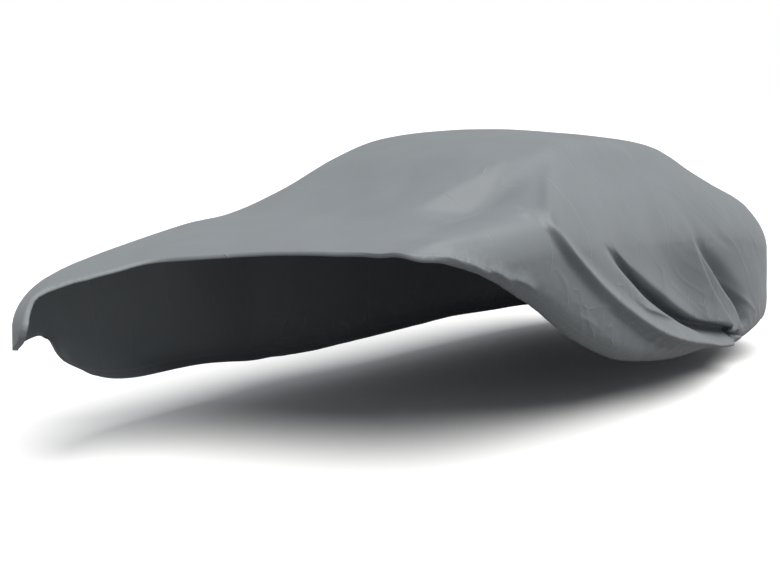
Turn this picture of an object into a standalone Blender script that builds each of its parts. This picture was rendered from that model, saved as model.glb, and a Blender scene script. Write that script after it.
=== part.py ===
"""A fitted saloon cover in its draped shape, drawn back from its near front corner.

Metres, +Z up, nose towards -Y, the lifted side towards +X. The cover is one thin sheet. Each
point of it is a pair of cloth coordinates, `across` (from the middle line towards the lifted
side) and `along` (nose to tail), laid over a rounded form. Below the shoulder the same two
numbers run on down the sides, the nose and the tail.
"""
import bmesh
import bpy
import numpy as np

# ---- the sheet ----
SHEET = 0.0025            # cloth with its soft lining, as laid
ROWS = 74                 # quads from the front hem to the tail hem
COLUMNS = 32              # quads from the plain side's hem to the lifted side's hem
CLOTH_COLOUR = (0.29, 0.31, 0.33, 1.0)
CLOTH_ROUGHNESS = 0.62

# ---- the form it lies on; heights are above the floor ----
HALF_WIDTH = 0.935
NOSE = -0.865
TAIL = 4.165
NOSE_CORNER = 4.0         # plan corners as superellipse powers, higher is squarer
TAIL_CORNER = 5.0
CORNER_STARTS = 0.50      # how far inside the edge the plan corners begin to round off
CORNER_FULL = 0.05
CORNER_SOFTNESS = 0.03    # where the sides meet the nose and the tail
EDGE_SOFTNESS = 0.05      # of the roof edge
FLARE = 0.05              # outward lean of the hanging sides, per metre of their height
HANG_FULL = 0.30          # how far past the edge of the form the cloth hangs freely
TUCK_REACH = 0.16         # how far above the hem its elastic starts to draw the cloth in
TUCK_DEPTH = 0.045
MIDDLE = (NOSE + TAIL) / 2
HALF_LENGTH = (TAIL - NOSE) / 2
ORIGIN = np.array([0.0, 1.90, 1.4725])    # the mount under the middle of the roof

# one row per section: along, height on the middle line, roof edge half width, fall to the roof
# edge, shoulder height, shoulder radius
ALONG, MIDLINE, ROOF_EDGE, FALL, SHOULDER, RADIUS = range(6)
SECTIONS = np.array([
    (-0.85, 0.750, 0.86, 0.030, 0.665, 0.13),
    (-0.60, 0.830, 0.86, 0.030, 0.765, 0.13),
    (-0.35, 0.890, 0.86, 0.030, 0.840, 0.13),
    (0.00, 0.960, 0.86, 0.030, 0.915, 0.13),
    (0.40, 1.025, 0.84, 0.030, 0.965, 0.13),
    (0.70, 1.095, 0.80, 0.040, 0.975, 0.13),
    (1.00, 1.245, 0.72, 0.050, 0.975, 0.13),
    (1.30, 1.380, 0.66, 0.050, 0.975, 0.13),
    (1.60, 1.455, 0.64, 0.050, 0.985, 0.13),
    (1.90, 1.475, 0.63, 0.050, 0.990, 0.13),
    (2.30, 1.460, 0.63, 0.050, 1.000, 0.14),
    (2.70, 1.412, 0.63, 0.045, 1.010, 0.16),
    (3.10, 1.270, 0.64, 0.050, 0.985, 0.18),
    (3.50, 1.115, 0.68, 0.050, 0.940, 0.21),
    (3.80, 1.018, 0.74, 0.050, 0.870, 0.24),
    (4.15, 0.945, 0.80, 0.050, 0.800, 0.26),
])

# one row per line across the sheet, in cloth coordinates: row number, where the line meets the
# plain side's hem, where it meets the drawn-back hem, and how far its middle bows along
ROW, PLAIN_ACROSS, PLAIN_ALONG, DRAWN_ACROSS, DRAWN_ALONG, BOW = range(6)
LINES = np.array([
    (0.0, -1.19, -1.10, -0.43, -0.965, -0.01),
    (0.8, -1.25, -1.04, -0.375, -0.895, -0.01),
    (1.6, -1.31, -0.97, -0.41, -0.83, -0.02),
    (2.4, -1.36, -0.88, -0.50, -0.755, -0.03),
    (3.3, -1.41, -0.77, -0.46, -0.64, -0.03),
    (4.6, -1.46, -0.59, -0.40, -0.44, -0.02),
    (6.3, -1.51, -0.38, -0.29, -0.22, 0.0),
    (8.0, -1.55, -0.16, -0.09, -0.12, 0.0),
    (10.0, -1.58, 0.07, 0.12, 0.00, 0.0),
    (12.0, -1.60, 0.29, 0.34, 0.10, 0.0),
    (14.0, -1.61, 0.50, 0.60, 0.19, 0.0),
    (16.0, -1.62, 0.68, 0.83, 0.23, 0.0),
    (18.0, -1.63, 0.85, 0.93, 0.37, 0.0),
    (20.0, -1.63, 1.00, 1.02, 0.57, 0.0),
    (24.0, -1.63, 1.22, 1.20, 0.89, 0.0),
    (28.0, -1.63, 1.43, 1.325, 1.12, 0.0),
    (34.0, -1.63, 1.70, 1.445, 1.41, 0.0),
    (39.0, -1.63, 1.98, 1.54, 1.73, 0.0),
    (45.0, -1.63, 2.28, 1.60, 2.08, 0.0),
    (52.0, -1.63, 2.66, 1.645, 2.54, 0.0),
    (59.0, -1.63, 3.08, 1.635, 3.05, 0.0),
    (65.0, -1.61, 3.54, 1.61, 3.56, 0.0),
    (69.0, -1.57, 4.06, 1.55, 4.08, 0.0),
    (72.0, -1.545, 4.54, 1.525, 4.54, 0.01),
    (74.0, -1.50, 4.73, 1.48, 4.73, 0.02),
])

# one row per chosen column: column number, share of the line's length from the plain side
COLUMN_SHARE = np.array([(0, 0.0), (3, 0.12), (9, 0.35), (13, 0.60), (18, 0.79), (32, 1.0)])

# a point under each side holds the cloth out like a tent: tip, height, the way it is held out,
# and the four corners where the tent runs out, in cloth coordinates
TENTS = {
    "drawn side": (1, (0.90, 1.02), 0.21, (0.86, 0.0, 0.51),
                   ((0.56, 1.62), (0.72, 0.00), (2.10, 0.90), (1.95, 3.40))),
    "plain side": (-1, (1.04, 1.05), 0.09, (1.0, 0.0, 0.0),
                   ((0.80, 1.20), (1.04, 0.40), (1.90, 1.00), (1.10, 2.00))),
}
TENT_RIDGE_SOFTNESS = 0.10
TENT_FOOT_SOFTNESS = 0.05

# the larger folds, as soft ridges and troughs on the lifted side, in cloth coordinates:
# start, bend and end; height at start and end; width below and above the line; fade lengths
FOLDS = {
    "main ridge": ((0.89, 1.05), (1.60, 2.25), (1.66, 3.22), 0.030, 0.045, 0.08, 0.08, 0.10, 0.0),
    "main trough": ((1.02, 1.00), (1.68, 2.10), (1.80, 3.00), -0.03, -0.03, 0.08, 0.08, 0.30, 0.3),
    "upper trough": ((0.99, 1.51), (1.42, 2.10), (1.59, 3.27), -0.02, -0.045, 0.08, 0.07, 0.4, 0.0),
    "tail ridge": ((0.97, 2.52), (1.22, 2.78), (1.60, 3.32), 0.02, 0.02, 0.12, 0.08, 0.3, 0.0),
    "tail trough": ((1.00, 2.76), (1.28, 3.02), (1.62, 3.52), -0.02, -0.035, 0.11, 0.14, 0.4, 0.0),
}
FOLD_STEPS = 24
NORMAL_STEP = 0.01


def look_up(table, column, at):
    """Smooth value of a table's column at positions in its first column."""
    knots = table[:, 0].astype(float)
    values = table[:, column]
    slopes = np.gradient(values, knots)
    at = np.clip(at, knots[0], knots[-1])
    left = np.clip(np.searchsorted(knots, at) - 1, 0, len(knots) - 2)
    span = knots[left + 1] - knots[left]
    t = (at - knots[left]) / span
    return ((2 * t**3 - 3 * t**2 + 1) * values[left] + (t**3 - 2 * t**2 + t) * span * slopes[left]
            + (3 * t**2 - 2 * t**3) * values[left + 1] + (t**3 - t**2) * span * slopes[left + 1])


def soft_step(value):
    value = np.clip(value, 0, 1)
    return value * value * (3 - 2 * value)


def soft_positive(value, softness):
    """Nearly 0 below zero and nearly the value above it."""
    return softness * np.logaddexp(0, value / softness)


def soft_maximum(first, second):
    return CORNER_SOFTNESS * np.logaddexp(first / CORNER_SOFTNESS, second / CORNER_SOFTNESS)


def norm(first, second, power):
    return (np.abs(first) ** power + np.abs(second) ** power) ** (1 / power)


def top_height(x, y):
    """Height of the form at a plan position."""
    out = np.abs(x)
    middle, edge = look_up(SECTIONS, MIDLINE, y), look_up(SECTIONS, ROOF_EDGE, y)
    fall, shoulder = look_up(SECTIONS, FALL, y), look_up(SECTIONS, SHOULDER, y)
    side_fall = np.maximum(middle - fall * (HALF_WIDTH / edge) ** 2 - shoulder, 0)
    share = soft_positive(out - edge, EDGE_SOFTNESS) / soft_positive(HALF_WIDTH - edge, EDGE_SOFTNESS)
    return middle - fall * (out / edge) ** 2 - side_fall * share


def past_edge(across, along):
    """How far a point of the cloth is past the edge of the form, less than zero on top of it."""
    return soft_maximum(np.abs(across) - HALF_WIDTH, np.abs(along - MIDDLE) - HALF_LENGTH)


def form_point(across, along):
    """Cloth coordinates laid on the form: x, y and z arrays stacked."""
    beyond = past_edge(across, along)
    radius = look_up(SECTIONS, RADIUS, along)
    turn = np.clip((beyond + radius) / radius, 0, np.pi / 2)
    inset = np.where(beyond < -radius, -beyond, radius * (1 - np.sin(turn)))
    straight = np.maximum(beyond + radius - radius * np.pi / 2, 0)
    drop = radius * (1 - np.cos(turn)) + straight
    inset = inset - FLARE * straight
    # the rings below the shoulder are gathered in near the nose and the tail
    side = across / np.maximum(HALF_WIDTH + beyond, 1e-6)
    end = (along - MIDDLE) / (HALF_LENGTH + beyond)
    kept = (HALF_LENGTH - inset) / (HALF_LENGTH + beyond)
    end = end * (1 - (1 - kept) * end**2) / kept
    power = np.where(along < MIDDLE, NOSE_CORNER, TAIL_CORNER)
    rounding = norm(side, end, power) ** -1
    rounding **= soft_step((beyond + CORNER_STARTS) / (CORNER_STARTS - CORNER_FULL))
    x = side * (HALF_WIDTH - inset) * rounding
    y = MIDDLE + end * (HALF_LENGTH - inset) * rounding
    return np.stack([x, y, top_height(x, y) - drop], -1)


def form_normal(across, along):
    step = NORMAL_STEP
    over = form_point(across + step, along) - form_point(across - step, along)
    back = form_point(across, along + step) - form_point(across, along - step)
    normal = np.cross(over, back)
    return normal / np.linalg.norm(normal, axis=-1, keepdims=True)


def tent_shift(across, along, tent):
    """How one tent moves the cloth: a soft pyramid round its tip, held out one way."""
    side, tip, height, direction, foot = tent
    offset = np.stack([side * across - tip[0], along - tip[1]], -1)
    corners = np.array(foot) - tip
    faces = []
    for first, second in zip(corners, np.roll(corners, -1, axis=0)):
        faces.append(offset @ np.linalg.solve(np.array([first, second]), np.ones(2)))
    reach = TENT_RIDGE_SOFTNESS * np.logaddexp.reduce(np.array(faces) / TENT_RIDGE_SOFTNESS, axis=0)
    held = height * soft_positive(1 - reach, TENT_FOOT_SOFTNESS)
    return held[..., None] * np.array(direction) * (side, 1, 1)


def fold_height(across, along, fold):
    """Outward shift of the cloth from one soft ridge or trough."""
    start, bend, end, height_start, height_end, width_below, width_above, fade_in, fade_out = fold
    t = np.linspace(0, 1, FOLD_STEPS + 1)[:, None]
    line = (1 - t) ** 2 * np.array(start) + 2 * t * (1 - t) * np.array(bend) + t**2 * np.array(end)
    nearest = np.full(across.shape, np.inf)
    place = np.zeros(across.shape)
    above = np.zeros(across.shape, bool)
    for step in range(FOLD_STEPS):
        run = line[step + 1] - line[step]
        to_x, to_y = across - line[step, 0], along - line[step, 1]
        share = np.clip((to_x * run[0] + to_y * run[1]) / (run @ run), 0, 1)
        distance = np.hypot(to_x - share * run[0], to_y - share * run[1])
        closer = distance < nearest
        nearest = np.where(closer, distance, nearest)
        place = np.where(closer, (step + share) / FOLD_STEPS, place)
        above = np.where(closer, run[1] * to_x < run[0] * to_y, above)
    height = height_start + (height_end - height_start) * place
    height = height * soft_step(place / fade_in)
    if fade_out:
        height = height * soft_step((1 - place) / fade_out)
    width = np.where(above, width_above, width_below)
    return height * np.exp(-((nearest / width) ** 2))


def cover_point(across, along):
    """Cloth coordinates to the draped cover's outer face, in the part's frame."""
    point = form_point(across, along)
    relief = sum(fold_height(across, along, fold) for fold in FOLDS.values())
    point = point + form_normal(across, along) * relief[..., None]
    return point + sum(tent_shift(across, along, tent) for tent in TENTS.values()) - ORIGIN


def cloth_coordinates(row, column):
    """Row and column numbers of the sheet to cloth coordinates, and how far the hem is."""
    share = look_up(COLUMN_SHARE, 1, column)
    plain_across, plain_along = look_up(LINES, PLAIN_ACROSS, row), look_up(LINES, PLAIN_ALONG, row)
    drawn_across, drawn_along = look_up(LINES, DRAWN_ACROSS, row), look_up(LINES, DRAWN_ALONG, row)
    bow = look_up(LINES, BOW, row) * 4 * share * (1 - share)
    across = plain_across + (drawn_across - plain_across) * share
    along = plain_along + (drawn_along - plain_along) * share + bow
    length = np.hypot(drawn_across - plain_across, drawn_along - plain_along)
    to_side = length * np.minimum(share, 1 - share)
    to_tail = LINES[-1, PLAIN_ALONG] - along
    return across, along, np.minimum(to_side, to_tail)


def sheet_point(row, column):
    """Row and column numbers to the cover's outer face, drawn in by the elastic near the hem."""
    across, along, to_hem = cloth_coordinates(row, column)
    hanging = soft_step(past_edge(across, along) / HANG_FULL)
    tuck = TUCK_DEPTH * hanging * np.clip(1 - to_hem / TUCK_REACH, 0, 1) ** 2
    return cover_point(across, along) - form_normal(across, along) * tuck[..., None]


def cloth_material():
    material = bpy.data.materials.new("cover_cloth")
    material.use_nodes = True
    shader = material.node_tree.nodes["Principled BSDF"]
    shader.inputs["Base Color"].default_value = CLOTH_COLOUR
    shader.inputs["Roughness"].default_value = CLOTH_ROUGHNESS
    return material


def split_quads(sheet, numbers):
    """Split each quad along the diagonal that lies nearer the drape there."""
    quads = sheet.faces[:]
    corners = np.array([[numbers[vertex.index] for vertex in quad.verts] for quad in quads])
    places = np.array([[vertex.co for vertex in quad.verts] for quad in quads])
    middle = corners.mean(axis=1)
    wanted = sheet_point(middle[:, 0], middle[:, 1])
    one = np.linalg.norm((places[:, 0] + places[:, 2]) / 2 - wanted, axis=1)
    other = np.linalg.norm((places[:, 1] + places[:, 3]) / 2 - wanted, axis=1)
    rows, columns = middle.astype(int).T
    worse = np.zeros((ROWS, COLUMNS))
    worse[rows, columns] = one - other
    padded = np.pad(worse, 1, mode="edge")
    evened = sum(padded[down:down + ROWS, over:over + COLUMNS] for down in range(3) for over in range(3))
    for quad, row, column in zip(quads, rows, columns):
        first, second, third, fourth = quad.verts
        ends = (first, third) if evened[row, column] <= 0 else (second, fourth)
        bmesh.utils.face_split(quad, *ends)


def build_cover():
    """One grid laid on the drape, split into triangles and thickened to a closed sheet."""
    sheet = bmesh.new()
    bmesh.ops.create_grid(sheet, x_segments=COLUMNS, y_segments=ROWS, size=0.5)
    sheet.verts.index_update()
    numbers = np.array([((vertex.co.y + 0.5) * ROWS, (vertex.co.x + 0.5) * COLUMNS)
                        for vertex in sheet.verts])
    for vertex, point in zip(sheet.verts, sheet_point(numbers[:, 0], numbers[:, 1])):
        vertex.co = point
    split_quads(sheet, numbers)
    sheet.normal_update()
    outside = sheet.verts.layers.float_vector.new("outside")
    for vertex in sheet.verts:
        vertex[outside] = vertex.co
        vertex.co -= vertex.normal * SHEET
    inner = sheet.faces[:]
    grown = bmesh.ops.extrude_face_region(sheet, geom=inner, use_keep_orig=True)["geom"]
    for item in grown:
        if isinstance(item, bmesh.types.BMVert):
            item.co = item[outside]
    sheet.verts.layers.float_vector.remove(outside)
    mesh = bpy.data.meshes.new("cover")
    sheet.to_mesh(mesh)
    sheet.free()
    cover = bpy.data.objects.new("cover", mesh)
    bpy.context.scene.collection.objects.link(cover)
    cover.data.materials.append(cloth_material())
    return cover


for leftover in list(bpy.data.objects):
    bpy.data.objects.remove(leftover, do_unlink=True)
build_cover()
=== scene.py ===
import math

import bmesh
import bpy
import numpy as np
from mathutils import Matrix, Vector, noise


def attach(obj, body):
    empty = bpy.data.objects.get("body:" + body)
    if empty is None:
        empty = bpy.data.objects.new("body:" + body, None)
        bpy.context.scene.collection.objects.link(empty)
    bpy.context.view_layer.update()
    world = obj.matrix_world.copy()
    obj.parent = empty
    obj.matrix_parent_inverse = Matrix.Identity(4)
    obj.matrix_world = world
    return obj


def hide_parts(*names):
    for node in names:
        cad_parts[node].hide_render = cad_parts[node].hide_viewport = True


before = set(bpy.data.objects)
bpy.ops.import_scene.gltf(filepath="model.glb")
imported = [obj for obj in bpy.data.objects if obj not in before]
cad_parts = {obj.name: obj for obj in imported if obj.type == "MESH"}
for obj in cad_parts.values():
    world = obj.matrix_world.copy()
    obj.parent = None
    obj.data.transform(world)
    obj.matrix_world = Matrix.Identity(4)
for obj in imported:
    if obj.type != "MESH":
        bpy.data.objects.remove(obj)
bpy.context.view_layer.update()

# ---------------------------------------------------------------- the camera
# It stands off the front corner that the cover is drawn back from, a little above the shoulder,
# and looks down the lifted side towards the tail.
EYE = Vector((4.219, -5.593, 0.2085))
TURN, DIP, ROLL = math.radians(39.785), math.radians(11.144), math.radians(0.134)
SENSOR_WIDTH, FOCAL_LENGTH = 36, 57.06             # millimetres
SHIFT_X, SHIFT_Y = -0.0468, 0.0542
FAR_CLIP = 200

camera = bpy.data.objects.new("camera", bpy.data.cameras.new("camera"))
bpy.context.scene.collection.objects.link(camera)
camera.matrix_world = (Matrix.Translation(EYE) @ Matrix.Rotation(TURN, 4, "Z")
                       @ Matrix.Rotation(math.pi / 2 - DIP, 4, "X") @ Matrix.Rotation(ROLL, 4, "Z"))
camera.data.sensor_width = SENSOR_WIDTH
camera.data.lens = FOCAL_LENGTH
camera.data.shift_x, camera.data.shift_y = SHIFT_X, SHIFT_Y
camera.data.clip_end = FAR_CLIP
bpy.context.scene.camera = camera

# ---------------------------------------------------------------- the cover
# One fitted cover of thin woven polyester with a grey coating, cut and sewn as a single cloth
# with elastic in its hem. It lies over the form that it was cut for, drawn back from one front
# corner, and hangs in folds that run from the side point to the hem near the tail.

# Every point of the cloth has two numbers in metres: across, from its middle line towards the
# lifted side, and along, from nose to tail. Heights of the form are above the floor.
HALF_WIDTH, NOSE, TAIL = 0.935, -0.865, 4.165
MIDDLE, HALF_LENGTH = (NOSE + TAIL) / 2, (TAIL - NOSE) / 2
NOSE_CORNER, TAIL_CORNER = 4.0, 5.0                # powers of the round of the corners, seen from above
CORNER_STARTS, CORNER_FULL, CORNER_SOFTNESS = 0.50, 0.05, 0.03
EDGE_SOFTNESS = 0.025                              # of the bend from the roof to the side
FLARE, HANG_FULL = 0.05, 0.30                      # how far the side leans out, where it hangs freely
TUCK_REACH, TUCK_DEPTH = 0.16, 0.045               # the elastic draws the hanging hem inwards
ROLL_ON_TOP, ROLL_HANGING, ROLL_AT_NOSE = 0.024, 0.070, 0.030   # radius of the hem's roll
NOSE_ROLL_STARTS, NOSE_ROLL_FULL = 0.10, 0.15
ROLL_SHARE = 0.97                                  # 1 would turn the hem's edge fully inwards
SWELLS = ((0.004, 0.45, 0.60, 3.1), (0.0015, 0.16, 0.22, 7.7))   # height, width, length, place in the noise
GATHER_SIZE, GATHER_CHANGE, GATHERS_REACH = 0.090, 0.25, 0.045
CLOTH_THICKNESS = 0.002
ROOF_UNDERSIDE = np.array([0.0, 1.90, 1.4725])     # the frame's origin, in the form's own sizes

# along, height on the middle line, roof edge half width, fall to it, shoulder height and radius
ALONG, MIDLINE, ROOF_EDGE, FALL, SHOULDER, RADIUS = range(6)
SECTIONS = np.array([
    (-0.85, 0.780, 0.86, 0.030, 0.695, 0.13),
    (-0.60, 0.860, 0.86, 0.030, 0.795, 0.13),
    (-0.35, 0.912, 0.86, 0.030, 0.862, 0.13),
    (0.00, 0.972, 0.86, 0.030, 0.927, 0.13),
    (0.40, 1.042, 0.84, 0.030, 0.982, 0.13),
    (0.70, 1.092, 0.80, 0.040, 0.983, 0.13),
    (1.00, 1.218, 0.72, 0.050, 0.975, 0.13),
    (1.30, 1.362, 0.66, 0.050, 0.975, 0.13),
    (1.60, 1.448, 0.64, 0.050, 0.985, 0.13),
    (1.90, 1.475, 0.63, 0.050, 0.990, 0.13),
    (2.30, 1.460, 0.63, 0.050, 1.000, 0.14),
    (2.70, 1.412, 0.63, 0.045, 1.010, 0.16),
    (3.10, 1.270, 0.64, 0.050, 0.985, 0.18),
    (3.50, 1.115, 0.68, 0.050, 0.940, 0.21),
    (3.80, 1.018, 0.74, 0.050, 0.870, 0.24),
    (4.15, 0.945, 0.80, 0.050, 0.800, 0.26),
])

# one row per line across the cloth: number, where it meets the plain side's hem, where it meets
# the drawn-back hem, how far its middle bows along, and how strongly the hem is puckered there
LINE, PLAIN_ACROSS, PLAIN_ALONG, DRAWN_ACROSS, DRAWN_ALONG, BOW, PUCKER = range(7)
LINES = np.array([
    (0, -1.19, -1.10, -0.67, -1.03, -0.01, 0.003),
    (0.8, -1.25, -1.04, -0.47, -0.96, -0.01, 0.003),
    (1.6, -1.31, -0.97, -0.40, -0.88, -0.02, 0.003),
    (2.4, -1.36, -0.88, -0.45, -0.81, -0.03, 0.004),
    (3.3, -1.41, -0.77, -0.49, -0.76, -0.03, 0.004),
    (4.6, -1.46, -0.59, -0.38, -0.44, -0.02, 0.003),
    (6.3, -1.51, -0.38, -0.30, -0.22, 0.00, 0.002),
    (8, -1.55, -0.16, -0.11, -0.10, 0.00, 0.001),
    (10, -1.58, 0.07, 0.11, 0.02, 0.00, 0.001),
    (12, -1.60, 0.29, 0.33, 0.12, 0.00, 0.001),
    (14, -1.61, 0.50, 0.59, 0.20, 0.00, 0.001),
    (16, -1.62, 0.68, 0.84, 0.21, 0.00, 0.002),
    (18, -1.63, 0.85, 0.93, 0.37, 0.00, 0.006),
    (20, -1.63, 1.00, 1.02, 0.57, 0.00, 0.009),
    (24, -1.63, 1.22, 1.18, 0.90, 0.00, 0.008),
    (28, -1.63, 1.43, 1.30, 1.13, 0.00, 0.004),
    (34, -1.63, 1.70, 1.43, 1.42, 0.00, 0.003),
    (39, -1.63, 1.98, 1.54, 1.73, 0.00, 0.003),
    (45, -1.63, 2.28, 1.61, 2.08, 0.00, 0.003),
    (52, -1.63, 2.66, 1.66, 2.54, 0.00, 0.003),
    (59, -1.63, 3.08, 1.65, 3.05, 0.00, 0.003),
    (65, -1.61, 3.54, 1.66, 3.56, 0.00, 0.003),
    (69, -1.57, 4.06, 1.58, 4.08, 0.00, 0.004),
    (72, -1.54, 4.54, 1.53, 4.54, 0.01, 0.004),
    (74, -1.50, 4.73, 1.53, 4.73, 0.02, 0.003),
])
LAST_LINE, LAST_STRIP = 74, 41
# strip number and its share of the line's length, counted from the plain side
STRIPS = np.array([
    (0, 0.0), (2, 0.03), (5, 0.16), (9, 0.36), (13, 0.60), (17, 0.76), (23, 0.84), (39, 0.985), (41, 1.0),
])
FINER_ALONG, FINER_ACROSS = 4, 4      # mesh lines to each of the lines and strips above

# tents: side, tip, height, the way it is held out, and the four corners of its foot. The last is
# a hollow, where the cloth sags between the roof's corner, the side point and the front
TENTS = [
    (1, (0.90, 1.02), 0.21, (0.86, 0.0, 0.51),
     ((0.56, 1.62), (0.72, 0.00), (2.10, 0.90), (1.95, 3.40))),
    (-1, (1.04, 1.05), 0.09, (1.0, 0.0, 0.0),
     ((0.80, 1.20), (1.04, 0.40), (1.90, 1.00), (1.10, 2.00))),
    (1, (0.67, 0.97), -0.090, (0.33, -0.45, 0.83),
     ((0.655, 1.62), (0.42, 0.80), (0.66, 0.74), (0.865, 1.05))),
]
TENT_RIDGE_SOFTNESS, TENT_FOOT_SOFTNESS = 0.07, 0.04

# folds and creases of the lifted side. Each has its path, its heights from start to end, evenly
# spaced, how far its crest leans down over what is below it, how wide it is to the right and to
# the left of the path (below and above it, where it runs towards the tail), and how it falls
# away there: 1.2 is a crease and 2.6 a channel with steep sides
FOLDS = {
    "pillar crease": (
        ((0.61, 1.78), (0.62, 1.63), (0.64, 1.49), (0.62, 1.34), (0.58, 1.22), (0.54, 1.12), (0.48, 0.99),
         (0.40, 0.87), (0.30, 0.79), (0.17, 0.75), (0.02, 0.72)),
        (0.000, 0.006, 0.012, 0.018, 0.024, 0.028, 0.030, 0.027, 0.022, 0.013, 0.000),
        0.000, 0.170, 0.110, 1.25),
    "side ridge": (
        ((0.67, 1.47), (0.72, 1.33), (0.78, 1.19), (0.84, 1.07), (0.89, 0.99), (0.93, 1.01), (1.00, 1.10),
         (1.11, 1.28), (1.22, 1.48), (1.33, 1.72), (1.42, 1.95), (1.50, 2.22), (1.57, 2.58), (1.64, 3.18),
         (1.66, 3.42)),
        (0.004, 0.014, 0.020, 0.026, 0.030, 0.034, 0.038, 0.043, 0.050, 0.056, 0.062, 0.066, 0.066, 0.058,
         0.024),
        0.014, 0.026, 0.032, 1.5),
    "trough below it": (
        ((0.92, 0.97), (0.98, 1.03), (1.08, 1.20), (1.19, 1.40), (1.31, 1.64), (1.43, 1.92),
         (1.53, 2.23)),
        (-0.006, -0.012, -0.018, -0.022, -0.026, -0.026, -0.018),
        0.000, 0.036, 0.014, 1.7),
    "upper trough": (
        ((0.99, 1.47), (1.09, 1.69), (1.19, 1.94), (1.30, 2.22), (1.41, 2.52), (1.49, 2.81), (1.54, 3.14),
         (1.59, 3.50)),
        (-0.004, -0.030, -0.066, -0.095, -0.110, -0.108, -0.092, -0.050),
        0.000, 0.075, 0.030, 2.6),
    "belly of the panel": (
        ((0.86, 1.50), (0.97, 1.85), (1.02, 2.30), (1.05, 2.80), (1.05, 3.30)),
        (0.000, 0.022, 0.034, 0.030, 0.010),
        0.000, 0.220, 0.220, 2.0),
    "draw-in of the panel": (
        ((1.00, 1.46), (1.14, 1.72), (1.27, 2.00), (1.40, 2.40), (1.50, 2.92), (1.58, 3.40)),
        (0.000, -0.030, -0.058, -0.070, -0.066, -0.044),
        0.000, 0.050, 0.280, 2.0),
    "edge of the panel": (
        ((0.95, 1.52), (1.02, 1.62), (1.09, 1.76), (1.18, 1.98), (1.26, 2.21), (1.34, 2.43), (1.43, 2.75),
         (1.55, 3.40)),
        (0.000, 0.006, 0.012, 0.016, 0.018, 0.020, 0.020, 0.018),
        0.034, 0.018, 0.090, 1.4),
    "small fold in it": (
        ((1.26, 1.74), (1.32, 1.88), (1.35, 2.00), (1.43, 2.32), (1.52, 2.83), (1.57, 3.04)),
        (0.000, 0.012, 0.016, 0.016, 0.016, 0.010),
        0.006, 0.010, 0.016, 1.3),
    "tail edge": (
        ((0.96, 2.54), (1.01, 2.54), (1.14, 2.67), (1.27, 2.85), (1.39, 3.04), (1.52, 3.28)),
        (0.000, 0.008, 0.015, 0.021, 0.026, 0.026),
        -0.026, 0.120, 0.008, 1.3),
    "tail hollow": (
        ((1.01, 2.57), (1.11, 2.74), (1.21, 2.96), (1.32, 3.20), (1.43, 3.48), (1.52, 3.59)),
        (-0.003, -0.030, -0.058, -0.078, -0.084, -0.060),
        0.000, 0.018, 0.056, 2.0),
    "draw-in of the tail": (
        ((1.46, 3.50), (1.56, 3.70), (1.58, 4.00), (1.54, 4.40)),
        (-0.020, -0.020, -0.010, 0.000),
        0.000, 0.200, 0.240, 2.0),
    "bright crease": (
        ((1.16, 2.80), (1.26, 3.10), (1.36, 3.46), (1.45, 3.80)),
        (0.000, 0.014, 0.016, 0.006),
        0.000, 0.012, 0.016, 1.3),
    "tail streak": (
        ((0.80, 2.36), (0.88, 2.48), (1.02, 2.64)),
        (0.000, -0.006, -0.004),
        0.000, 0.030, 0.035, 2.0),
    "second tail streak": (
        ((0.88, 2.58), (0.98, 2.82), (1.10, 3.16)),
        (0.000, -0.007, 0.000),
        0.000, 0.035, 0.035, 2.0),
    "front streak": (
        ((0.85, 1.02), (0.83, 0.90), (0.72, 0.97), (0.66, 0.91), (0.63, 0.77), (0.55, 0.70)),
        (0.006, 0.014, 0.018, 0.016, 0.010, 0.000),
        0.000, 0.050, 0.018, 1.3),
    "second front streak": (
        ((0.87, 0.61), (0.86, 0.48), (0.84, 0.37), (0.81, 0.29)),
        (0.000, 0.007, 0.007, 0.000),
        0.000, 0.040, 0.025, 1.5),
    "first pleat at the hem": (
        ((0.90, 0.33), (0.92, 0.40), (0.96, 0.46)),
        (0.003, 0.016, 0.010),
        0.008, 0.010, 0.022, 1.3),
    "second pleat at the hem": (
        ((0.94, 0.45), (0.97, 0.51), (1.02, 0.58)),
        (0.003, 0.018, 0.010),
        0.008, 0.010, 0.022, 1.3),
    "third pleat at the hem": (
        ((1.00, 0.55), (1.01, 0.63), (1.08, 0.73)),
        (0.003, 0.022, 0.013),
        0.011, 0.010, 0.024, 1.3),
    "fourth pleat at the hem": (
        ((1.05, 0.69), (1.07, 0.78), (1.12, 0.87)),
        (0.003, 0.021, 0.010),
        0.011, 0.010, 0.024, 1.3),
    "crumple one": (
        ((1.02, 1.11), (1.06, 1.18), (1.11, 1.17)),
        (0.000, -0.008, 0.000),
        0.000, 0.014, 0.012, 1.3),
    "crumple two": (
        ((1.13, 1.29), (1.20, 1.40), (1.26, 1.47)),
        (0.000, 0.007, 0.002),
        0.000, 0.014, 0.014, 1.3),
    "crumple three": (
        ((1.26, 1.36), (1.26, 1.48), (1.30, 1.60)),
        (0.000, 0.008, 0.000),
        0.000, 0.014, 0.012, 1.3),
    "crumple four": (
        ((1.27, 1.22), (1.31, 1.33), (1.38, 1.49)),
        (0.000, 0.006, 0.000),
        0.000, 0.013, 0.014, 1.3),
    "crumple five": (
        ((1.51, 1.89), (1.50, 2.02), (1.47, 2.07), (1.52, 2.31)),
        (0.000, 0.008, 0.010, 0.002),
        0.000, 0.013, 0.013, 1.3),
    "crumple six": (
        ((1.58, 2.04), (1.55, 2.10), (1.55, 2.19)),
        (0.000, 0.008, 0.002),
        0.000, 0.013, 0.013, 1.3),
    "crumple seven": (
        ((1.05, 0.99), (1.12, 1.07), (1.20, 1.13)),
        (0.000, 0.006, 0.000),
        0.000, 0.014, 0.014, 1.3),
    "crumple eight": (
        ((1.09, 2.18), (1.18, 2.23), (1.24, 2.20)),
        (0.000, 0.005, 0.000),
        0.000, 0.016, 0.014, 1.3),
}
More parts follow.
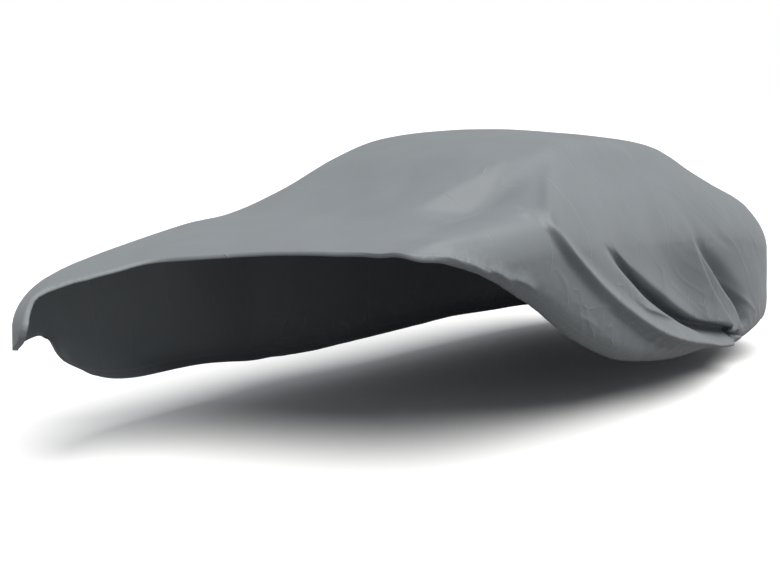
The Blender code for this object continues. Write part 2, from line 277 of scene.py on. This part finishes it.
CREST, NARROWEST = 0.35, 0.40         # how blunt every crest is, how wide a fold is where it starts


def look_up(table, column, at):
    """Smooth value of a table's column at positions in its first column."""
    knots, values = table[:, 0].astype(float), table[:, column]
    slopes = np.gradient(values, knots)
    at = np.clip(at, knots[0], knots[-1])
    left = np.clip(np.searchsorted(knots, at) - 1, 0, len(knots) - 2)
    span = knots[left + 1] - knots[left]
    t = (at - knots[left]) / span
    return ((2 * t**3 - 3 * t**2 + 1) * values[left] + (t**3 - 2 * t**2 + t) * span * slopes[left]
            + (3 * t**2 - 2 * t**3) * values[left + 1] + (t**3 - t**2) * span * slopes[left + 1])


def soft_step(value):
    """From 0 to 1 with a smooth start and end."""
    value = np.clip(value, 0, 1)
    return value * value * (3 - 2 * value)


def soft_positive(value, softness):
    """The value where it is above zero and nothing below, with a soft bend between them."""
    return softness * np.logaddexp(0, value / softness)


def past_edge(across, along):
    """How far a point of the cloth is past the edge of the form, less than zero on top of it."""
    side, end = np.abs(across) - HALF_WIDTH, np.abs(along - MIDDLE) - HALF_LENGTH
    return CORNER_SOFTNESS * np.logaddexp(side / CORNER_SOFTNESS, end / CORNER_SOFTNESS)


def top_height(x, y):
    """Height of the form's top, from its middle line over the roof's edge to the shoulder."""
    out = np.abs(x)
    middle, edge = look_up(SECTIONS, MIDLINE, y), look_up(SECTIONS, ROOF_EDGE, y)
    fall, shoulder = look_up(SECTIONS, FALL, y), look_up(SECTIONS, SHOULDER, y)
    side_fall = np.maximum(middle - fall * (HALF_WIDTH / edge) ** 2 - shoulder, 0)
    share = soft_positive(out - edge, EDGE_SOFTNESS) / soft_positive(HALF_WIDTH - edge, EDGE_SOFTNESS)
    return middle - fall * (out / edge) ** 2 - side_fall * share


def form_point(across, along):
    """The cloth laid smoothly on the form: over the top, round the shoulder and down."""
    beyond = past_edge(across, along)
    radius = look_up(SECTIONS, RADIUS, along)
    turn = np.clip((beyond + radius) / radius, 0, np.pi / 2)
    inset = np.where(beyond < -radius, -beyond, radius * (1 - np.sin(turn)))
    straight = np.maximum(beyond + radius - radius * np.pi / 2, 0)
    drop = radius * (1 - np.cos(turn)) + straight
    inset = inset - FLARE * straight
    side = across / np.maximum(HALF_WIDTH + beyond, 1e-6)
    end = (along - MIDDLE) / (HALF_LENGTH + beyond)
    kept = (HALF_LENGTH - inset) / (HALF_LENGTH + beyond)
    end = end * (1 - (1 - kept) * end**2) / kept
    power = np.where(along < MIDDLE, NOSE_CORNER, TAIL_CORNER)
    rounding = (np.abs(side) ** power + np.abs(end) ** power) ** (-1 / power)
    rounding **= soft_step((beyond + CORNER_STARTS) / (CORNER_STARTS - CORNER_FULL))
    x = side * (HALF_WIDTH - inset) * rounding
    y = MIDDLE + end * (HALF_LENGTH - inset) * rounding
    return np.stack([x, y, top_height(x, y) - drop], -1)


def form_normal(across, along, step=0.01):
    """The way out of the form at a point of the cloth."""
    over = form_point(across + step, along) - form_point(across - step, along)
    back = form_point(across, along + step) - form_point(across, along - step)
    normal = np.cross(over, back)
    return normal / np.linalg.norm(normal, axis=-1, keepdims=True)


def tent_shift(across, along, side, tip, height, direction, foot):
    """How a point under one side holds the cloth out: a soft pyramid round its tip."""
    offset = np.stack([side * across - tip[0], along - tip[1]], -1)
    corners = np.array(foot) - tip
    faces = [offset @ np.linalg.solve(np.array([first, second]), np.ones(2))
             for first, second in zip(corners, np.roll(corners, -1, axis=0))]
    reach = TENT_RIDGE_SOFTNESS * np.logaddexp.reduce(np.array(faces) / TENT_RIDGE_SOFTNESS, axis=0)
    held = height * soft_positive(1 - reach, TENT_FOOT_SOFTNESS)
    return held[..., None] * np.array(direction) * (side, 1, 1)


def fold_shift(across, along, path, heights, lean, below, above, roundness):
    """One soft ridge or trough along a smooth path: how far it moves the cloth out, and how far it
    moves it across and along."""
    path = np.array(path)
    knots = np.column_stack([np.linspace(0, 1, len(path)), path])
    places = np.linspace(0, 1, 10 * len(path))
    line = np.column_stack([look_up(knots, 1, places), look_up(knots, 2, places)])
    nearest, place = np.full(across.shape, np.inf), np.zeros(across.shape)
    over, down = np.zeros(across.shape, bool), np.zeros((2,) + across.shape)
    for number, (start, run) in enumerate(zip(line[:-1], np.diff(line, axis=0))):
        to_x, to_y = across - start[0], along - start[1]
        share = np.clip((to_x * run[0] + to_y * run[1]) / (run @ run), 0, 1)
        distance = np.hypot(to_x - share * run[0], to_y - share * run[1])
        closer = distance < nearest
        nearest = np.where(closer, distance, nearest)
        place = np.where(closer, (number + share) / (len(line) - 1), place)
        over = np.where(closer, run[1] * to_x < run[0] * to_y, over)
        downhill = np.array([run[1], -run[0]]) / np.linalg.norm(run)
        down = np.where(closer, downhill[:, None], down)
    height = np.interp(place, np.linspace(0, 1, len(heights)), heights)
    strength = height / np.abs(heights).max()
    spread = NARROWEST + (1 - NARROWEST) * np.abs(strength)
    reach = np.hypot(nearest / (np.where(over, above, below) * spread), CREST)
    profile = np.exp(CREST**roundness - reach**roundness)
    return np.stack([height * profile, *(lean * strength * profile * down)])


def unevenness(across, along, to_hem, pucker):
    """Slack in the cloth: slow swells everywhere, and gathers that the hem's elastic makes."""
    shift = np.zeros(across.shape)
    for index, (x, y, hem, strength) in enumerate(zip(across, along, to_hem, pucker)):
        swell = sum(height * noise.noise(Vector((x / width, y / length, place)))
                    for height, width, length, place in SWELLS)
        gather = noise.noise(Vector((x / GATHER_SIZE, y / GATHER_SIZE, hem / GATHER_CHANGE)))
        shift[index] = swell + strength * gather * math.exp(-hem / GATHERS_REACH)
    return shift


def cloth_point(across, along, to_hem, pucker):
    """The cloth on its form, held out by the tents, with its folds, gathers and rolled hem."""
    hanging = soft_step(past_edge(across, along) / HANG_FULL)
    relief, over_across, over_along = sum(fold_shift(across, along, *fold) for fold in FOLDS.values())
    relief = relief + unevenness(across, along, to_hem, pucker)
    at_nose = soft_step((NOSE + NOSE_ROLL_STARTS - along) / NOSE_ROLL_FULL)
    tuck = TUCK_DEPTH * hanging * (1 - at_nose)
    relief = relief - tuck * np.clip(1 - to_hem / TUCK_REACH, 0, 1) ** 2
    radius = ROLL_ON_TOP + (ROLL_HANGING - ROLL_ON_TOP) * hanging
    radius = radius + (ROLL_AT_NOSE - radius) * at_nose
    relief = relief - radius * (1 - np.sqrt(1 - ROLL_SHARE * np.clip(1 - to_hem / radius, 0, 1) ** 2))
    laid = across + over_across, along + over_along
    points = form_point(*laid) + form_normal(*laid) * relief[:, None] - ROOF_UNDERSIDE
    return points + sum(tent_shift(*laid, *tent) for tent in TENTS)


def lay_cloth(line, strip):
    """The cloth at places of its grid: the points, their two numbers, how far the hem is, and how
    deeply the elastic gathers the cloth there."""
    share = look_up(STRIPS, 1, strip)
    plain_across, plain_along = look_up(LINES, PLAIN_ACROSS, line), look_up(LINES, PLAIN_ALONG, line)
    drawn_across, drawn_along = look_up(LINES, DRAWN_ACROSS, line), look_up(LINES, DRAWN_ALONG, line)
    across = plain_across + (drawn_across - plain_across) * share
    along = (plain_along + (drawn_along - plain_along) * share
             + look_up(LINES, BOW, line) * 4 * share * (1 - share))
    width_there = np.hypot(drawn_across - plain_across, drawn_along - plain_along)
    to_tail_hem = LINES[-1, PLAIN_ALONG] + LINES[-1, BOW] - along
    to_hem = np.maximum(np.minimum(width_there * np.minimum(share, 1 - share), to_tail_hem), 0)
    pucker = look_up(LINES, PUCKER, line)
    points = cloth_point(across, along, to_hem, pucker)
    return points, across, along, to_hem, 2 * pucker * np.exp(-to_hem / GATHERS_REACH)


fine_lines, fine_strips = LAST_LINE * FINER_ALONG, LAST_STRIP * FINER_ACROSS
cloth = bmesh.new()
bmesh.ops.create_grid(cloth, x_segments=fine_strips, y_segments=fine_lines, size=0.5)
cloth.verts.ensure_lookup_table()
points, across, along, to_hem, gathers = lay_cloth(
    np.array([(vertex.co.y + 0.5) * LAST_LINE for vertex in cloth.verts]),
    np.array([(vertex.co.x + 0.5) * LAST_STRIP for vertex in cloth.verts]))

pattern = cloth.loops.layers.uv.new("cut")
hem_layer = cloth.verts.layers.float.new("to_hem")
gathers_layer = cloth.verts.layers.float.new("gathers")
for vertex, point, distance, depth in zip(cloth.verts, points, to_hem, gathers):
    vertex.co = point
    vertex[hem_layer] = distance
    vertex[gathers_layer] = depth
for face in cloth.faces:
    face.smooth = True
    for corner in face.loops:
        corner[pattern].uv = (across[corner.vert.index], along[corner.vert.index])

cover = bpy.data.objects.new("cover_cloth", bpy.data.meshes.new("cover_cloth"))
cloth.to_mesh(cover.data)
cloth.free()
bpy.context.scene.collection.objects.link(cover)
thickness = cover.modifiers.new("cloth thickness", "SOLIDIFY")
thickness.thickness, thickness.offset = CLOTH_THICKNESS, -1


def linear(hex_colour):
    """sRGB hex to the linear red, green, blue and alpha that Blender wants."""
    parts = [int(hex_colour[i:i + 2], 16) / 255 for i in (1, 3, 5)]
    return [c / 12.92 if c <= 0.04045 else ((c + 0.055) / 1.055) ** 2.4 for c in parts] + [1.0]


def add(tree, kind, settings=None, **inputs):
    """Adds a node. An input is given by its name or as i and its number. An output socket is
    linked to it, and anything else is its value."""
    new = tree.nodes.new(kind)
    for name, value in (settings or {}).items():
        setattr(new, name, value)
    for name, value in inputs.items():
        numbered = name[0] == "i" and name[1:].isdigit()
        socket = new.inputs[int(name[1:]) if numbered else name.replace("_", " ")]
        if isinstance(value, bpy.types.NodeSocket):
            tree.links.new(value, socket)
        else:
            socket.default_value = value
    return new


# coated polyester in plain weave: the coating hides most of the threads, so the cloth is smooth
# and nearly matt with a broad soft sheen, and it keeps sharp creases, paler along their tops
THREAD = 0.0040                       # real threads are 0.4 mm apart, too fine to show
PACKING_FOLD, CRUMPLE = 0.33, 0.085   # how the cover was folded to be packed, size of small creases
CASING = 0.028                        # the hem's elastic runs in this, closed by one line of stitches
STITCH = 0.008
WAVE = math.pi / 10                   # a wave texture of scale 1 repeats after this
WEAVE_HEIGHT, CRUMPLE_HEIGHT, CREST_HEIGHT = 0.00003, 0.0110, 0.0016
DRAG_HEIGHT, PACKING_HEIGHT, SEAM_DEPTH = 0.0010, 0.0018, 0.0012
COATING, PALER_COATING, WORN_COATING = "#696e71", "#757a7e", "#a3a8ab"
SEWING_THREAD = "#8b8f93"

coated_polyester = bpy.data.materials.new("coated_woven_polyester")
coated_polyester.use_nodes = True
tree = coated_polyester.node_tree
shader = tree.nodes["Principled BSDF"]
cut = add(tree, "ShaderNodeUVMap", {"uv_map": "cut"}).outputs["UV"]
hem = add(tree, "ShaderNodeAttribute", {"attribute_name": "to_hem"}).outputs["Fac"]
near_hem = add(tree, "ShaderNodeMapRange", {"interpolation_type": "SMOOTHSTEP"}, Value=hem,
               From_Min=0.45, From_Max=0.03, To_Min=0.0, To_Max=1.0).outputs["Result"]

# threads
warp = add(tree, "ShaderNodeTexWave", {"bands_direction": "X"}, Vector=cut, Scale=WAVE / THREAD)
weft = add(tree, "ShaderNodeTexWave", {"bands_direction": "Y"}, Vector=cut, Scale=WAVE / THREAD)
weave = add(tree, "ShaderNodeMath", {"operation": "MAXIMUM"}, i0=warp.outputs["Fac"],
            i1=weft.outputs["Fac"])
weave = add(tree, "ShaderNodeMath", {"operation": "MULTIPLY"}, i0=weave.outputs[0], i1=WEAVE_HEIGHT)

# where the cloth is more creased: patches, and all of the lower edge, but little near the nose,
# where it is drawn tight
patches = add(tree, "ShaderNodeTexNoise", Vector=cut, Scale=2.6, Detail=2.0)
patches = add(tree, "ShaderNodeMath", {"operation": "MULTIPLY_ADD"}, i0=near_hem, i1=0.26,
              i2=patches.outputs["Fac"])
creased = add(tree, "ShaderNodeMapRange", {"interpolation_type": "SMOOTHSTEP"}, Value=patches.outputs[0],
              From_Min=0.54, From_Max=0.74, To_Min=0.0, To_Max=1.0).outputs["Result"]
place = add(tree, "ShaderNodeSeparateXYZ", Vector=cut)
slack = add(tree, "ShaderNodeMapRange", {"interpolation_type": "SMOOTHSTEP"}, Value=place.outputs["Y"],
            From_Min=0.85, From_Max=1.30, To_Min=0.1, To_Max=1.0).outputs["Result"]
creased = add(tree, "ShaderNodeMath", {"operation": "MULTIPLY"}, i0=creased, i1=slack).outputs[0]

# crumples: small flat facets that meet in sharp creases, drawn out along the folds
bent = add(tree, "ShaderNodeTexNoise", Vector=cut, Scale=5.0, Detail=1.0)
bent = add(tree, "ShaderNodeVectorMath", {"operation": "MULTIPLY_ADD"}, i0=bent.outputs["Color"],
           i1=(0.06, 0.06, 0.0), i2=cut)
drawn_out = add(tree, "ShaderNodeMapping", Vector=bent.outputs[0], Rotation=(0.0, 0.0, math.radians(35)))
drawn_out = add(tree, "ShaderNodeVectorMath", {"operation": "MULTIPLY"}, i0=drawn_out.outputs["Vector"],
                i1=(1.0, 0.55, 1.0))
cells = add(tree, "ShaderNodeTexVoronoi", {"feature": "DISTANCE_TO_EDGE"}, Vector=drawn_out.outputs[0],
            Scale=1 / CRUMPLE)
crumple = add(tree, "ShaderNodeMath", {"operation": "MULTIPLY"}, i0=cells.outputs["Distance"], i1=creased)
crest = add(tree, "ShaderNodeMapRange", {"interpolation_type": "SMOOTHSTEP"},
            Value=cells.outputs["Distance"],
            From_Min=0.05, From_Max=0.0, To_Min=0.0, To_Max=1.0)
broken = add(tree, "ShaderNodeTexNoise", Vector=cut, Scale=14.0, Detail=0.0)
broken = add(tree, "ShaderNodeMapRange", {"interpolation_type": "SMOOTHSTEP"}, Value=broken.outputs["Fac"],
             From_Min=0.55, From_Max=0.67, To_Min=0.0, To_Max=1.0)
crest = add(tree, "ShaderNodeMath", {"operation": "MULTIPLY"}, i0=crest.outputs["Result"], i1=creased)
crest = add(tree, "ShaderNodeMath", {"operation": "MULTIPLY"}, i0=crest.outputs[0],
            i1=broken.outputs["Result"])

# drag lines: long shallow creases that run from the side point towards the tail
turned = add(tree, "ShaderNodeMapping", Vector=cut, Rotation=(0.0, 0.0, math.radians(24)))
turned = add(tree, "ShaderNodeVectorMath", {"operation": "MULTIPLY"}, i0=turned.outputs["Vector"],
             i1=(5.0, 0.7, 1.0))
strands = add(tree, "ShaderNodeTexNoise", Vector=turned.outputs[0], Scale=1.4, Detail=1.0, Roughness=0.4)
off_crest = add(tree, "ShaderNodeMath", {"operation": "SUBTRACT"}, i0=strands.outputs["Fac"], i1=0.5)
off_crest = add(tree, "ShaderNodeMath", {"operation": "ABSOLUTE"}, i0=off_crest.outputs[0])
drag = add(tree, "ShaderNodeMapRange", {"interpolation_type": "SMOOTHSTEP"}, Value=off_crest.outputs[0],
           From_Min=0.07, From_Max=0.0, To_Min=0.0, To_Max=1.0).outputs["Result"]
near_tail = add(tree, "ShaderNodeMapRange", {"interpolation_type": "SMOOTHSTEP"}, Value=place.outputs["Y"],
                From_Min=1.7, From_Max=2.7, To_Min=0.15, To_Max=1.0).outputs["Result"]
drag = add(tree, "ShaderNodeMath", {"operation": "MULTIPLY"}, i0=drag, i1=near_tail).outputs[0]

# gathers: the elastic draws the hem into small tight folds
pulled = add(tree, "ShaderNodeAttribute", {"attribute_name": "gathers"}).outputs["Fac"]
gathered = add(tree, "ShaderNodeTexNoise", Vector=cut, Scale=26.0, Detail=1.5)
gathered = add(tree, "ShaderNodeMath", {"operation": "MULTIPLY"}, i0=gathered.outputs["Fac"], i1=pulled)

# packing creases: straight across the cloth at even steps, worn away here and there
apart = add(tree, "ShaderNodeSeparateXYZ", Vector=bent.outputs[0])
step = add(tree, "ShaderNodeMath", {"operation": "PINGPONG"}, i0=apart.outputs["Y"], i1=PACKING_FOLD / 2)
packing = add(tree, "ShaderNodeMapRange", {"interpolation_type": "SMOOTHSTEP"}, Value=step.outputs[0],
              From_Min=0.005, From_Max=0.0, To_Min=0.0, To_Max=1.0)
kept = add(tree, "ShaderNodeTexNoise", Vector=cut, Scale=3.4, Detail=1.0)
kept = add(tree, "ShaderNodeMapRange", Value=kept.outputs["Fac"], From_Min=0.45, From_Max=0.60,
           To_Min=0.0, To_Max=1.0)
packing = add(tree, "ShaderNodeMath", {"operation": "MULTIPLY"}, i0=packing.outputs["Result"],
              i1=kept.outputs["Result"])

# the stitch line of the hem
off_seam = add(tree, "ShaderNodeMath", {"operation": "SUBTRACT"}, i0=hem, i1=CASING)
off_seam = add(tree, "ShaderNodeMath", {"operation": "ABSOLUTE"}, i0=off_seam.outputs[0])
seam = add(tree, "ShaderNodeMapRange", {"interpolation_type": "SMOOTHSTEP"}, Value=off_seam.outputs[0],
           From_Min=0.0025, From_Max=0.0, To_Min=0.0, To_Max=1.0).outputs["Result"]
stitches = add(tree, "ShaderNodeTexWave", {"bands_direction": "DIAGONAL"}, Vector=cut, Scale=WAVE / STITCH)
stitches = add(tree, "ShaderNodeMath", {"operation": "MULTIPLY"}, i0=stitches.outputs["Fac"], i1=seam)

relief = add(tree, "ShaderNodeMath", {"operation": "MULTIPLY_ADD"}, i0=crumple.outputs[0],
             i1=-CRUMPLE_HEIGHT, i2=weave.outputs[0])
relief = add(tree, "ShaderNodeMath", {"operation": "MULTIPLY_ADD"}, i0=crest.outputs[0], i1=CREST_HEIGHT,
             i2=relief.outputs[0])
relief = add(tree, "ShaderNodeMath", {"operation": "ADD"}, i0=gathered.outputs[0], i1=relief.outputs[0])
relief = add(tree, "ShaderNodeMath", {"operation": "MULTIPLY_ADD"}, i0=drag, i1=DRAG_HEIGHT,
             i2=relief.outputs[0])
relief = add(tree, "ShaderNodeMath", {"operation": "MULTIPLY_ADD"}, i0=packing.outputs[0],
             i1=PACKING_HEIGHT, i2=relief.outputs[0])
relief = add(tree, "ShaderNodeMath", {"operation": "MULTIPLY_ADD"}, i0=seam, i1=-SEAM_DEPTH,
             i2=relief.outputs[0])
relief = add(tree, "ShaderNodeBump", Strength=1.0, Distance=1.0, Height=relief.outputs[0])
tree.links.new(relief.outputs["Normal"], shader.inputs["Normal"])

# the coating is a little uneven, and pale where a crease has stretched it
coats = add(tree, "ShaderNodeTexNoise", Vector=cut, Scale=3.0, Detail=5.0, Roughness=0.6)
colour = add(tree, "ShaderNodeMix", {"data_type": "RGBA"}, i0=coats.outputs["Fac"], i6=linear(COATING),
             i7=linear(PALER_COATING))
worn = add(tree, "ShaderNodeMath", {"operation": "MULTIPLY_ADD"}, i0=crest.outputs[0], i1=1.3,
           i2=packing.outputs[0])
worn = add(tree, "ShaderNodeMath", {"operation": "MULTIPLY"}, i0=worn.outputs[0], i1=0.15)
colour = add(tree, "ShaderNodeMix", {"data_type": "RGBA"}, i0=worn.outputs[0], i6=colour.outputs[2],
             i7=linear(WORN_COATING))
colour = add(tree, "ShaderNodeMix", {"data_type": "RGBA"}, i0=stitches.outputs[0], i6=colour.outputs[2],
             i7=linear(SEWING_THREAD))
tree.links.new(colour.outputs[2], shader.inputs["Base Color"])
matt = add(tree, "ShaderNodeMapRange", Value=coats.outputs["Fac"], From_Min=0.3, From_Max=0.7,
           To_Min=0.52, To_Max=0.64)
tree.links.new(matt.outputs["Result"], shader.inputs["Roughness"])
shader.inputs["Sheen Weight"].default_value = 0.12
shader.inputs["Sheen Roughness"].default_value = 0.5
cover.data.materials.append(coated_polyester)

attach(cover, "root")
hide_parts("cover")

# ---------------------------------------------------------------- the studio
# A plain pale floor, broad light from above and from the camera's side, and a pale surround.
FLOOR_HEIGHT, FLOOR_SIZE = -ROOF_UNDERSIDE[2], 120

floor_mesh = bmesh.new()
bmesh.ops.create_grid(floor_mesh, x_segments=1, y_segments=1, size=FLOOR_SIZE,
                      matrix=Matrix.Translation((0, 0, FLOOR_HEIGHT)))
floor = bpy.data.objects.new("floor", bpy.data.meshes.new("floor"))
floor_mesh.to_mesh(floor.data)
floor_mesh.free()
bpy.context.scene.collection.objects.link(floor)

# matt pale paint. It shows nearly white, but throws back only part of the light, as a dark studio
# behind the camera would make it do
matt_paint = bpy.data.materials.new("matt_pale_paint")
matt_paint.use_nodes = True
tree = matt_paint.node_tree
paint = tree.nodes["Principled BSDF"]
paint.inputs["Roughness"].default_value = 0.9
seen = add(tree, "ShaderNodeLightPath")
tint = add(tree, "ShaderNodeMix", {"data_type": "RGBA"}, i0=seen.outputs["Is Camera Ray"],
           i6=linear("#8a8a8a"), i7=linear("#f2f2f2"))
tree.links.new(tint.outputs[2], paint.inputs["Base Color"])
floor.data.materials.append(matt_paint)

surround = bpy.data.worlds.new("pale surround")
bpy.context.scene.world = surround
surround.use_nodes = True
tree = surround.node_tree
seen = add(tree, "ShaderNodeLightPath")
glow = add(tree, "ShaderNodeMix", {"data_type": "RGBA"}, i0=seen.outputs["Is Camera Ray"],
           i6=linear("#a2a4a8"), i7=linear("#ffffff"))
tree.links.new(glow.outputs[2], tree.nodes["Background"].inputs["Color"])


def lamp(name, strength, colour, azimuth, height, softness):
    """A broad far lamp. Azimuth 0 shines along +Y and 90 along -X. All angles are in degrees."""
    light = bpy.data.lights.new(name, "SUN")
    light.energy, light.color, light.angle = strength, linear(colour)[:3], math.radians(softness)
    holder = bpy.data.objects.new(name, light)
    a, e = math.radians(azimuth), math.radians(height)
    towards = Vector((math.sin(a) * math.cos(e), -math.cos(a) * math.cos(e), math.sin(e)))
    holder.rotation_euler = towards.to_track_quat("Z", "Y").to_euler()
    bpy.context.scene.collection.objects.link(holder)


lamp("overhead softbox", 4.15, "#fffefb", 80, 64, 58)
bpy.context.scene.view_settings.view_transform = "Standard"
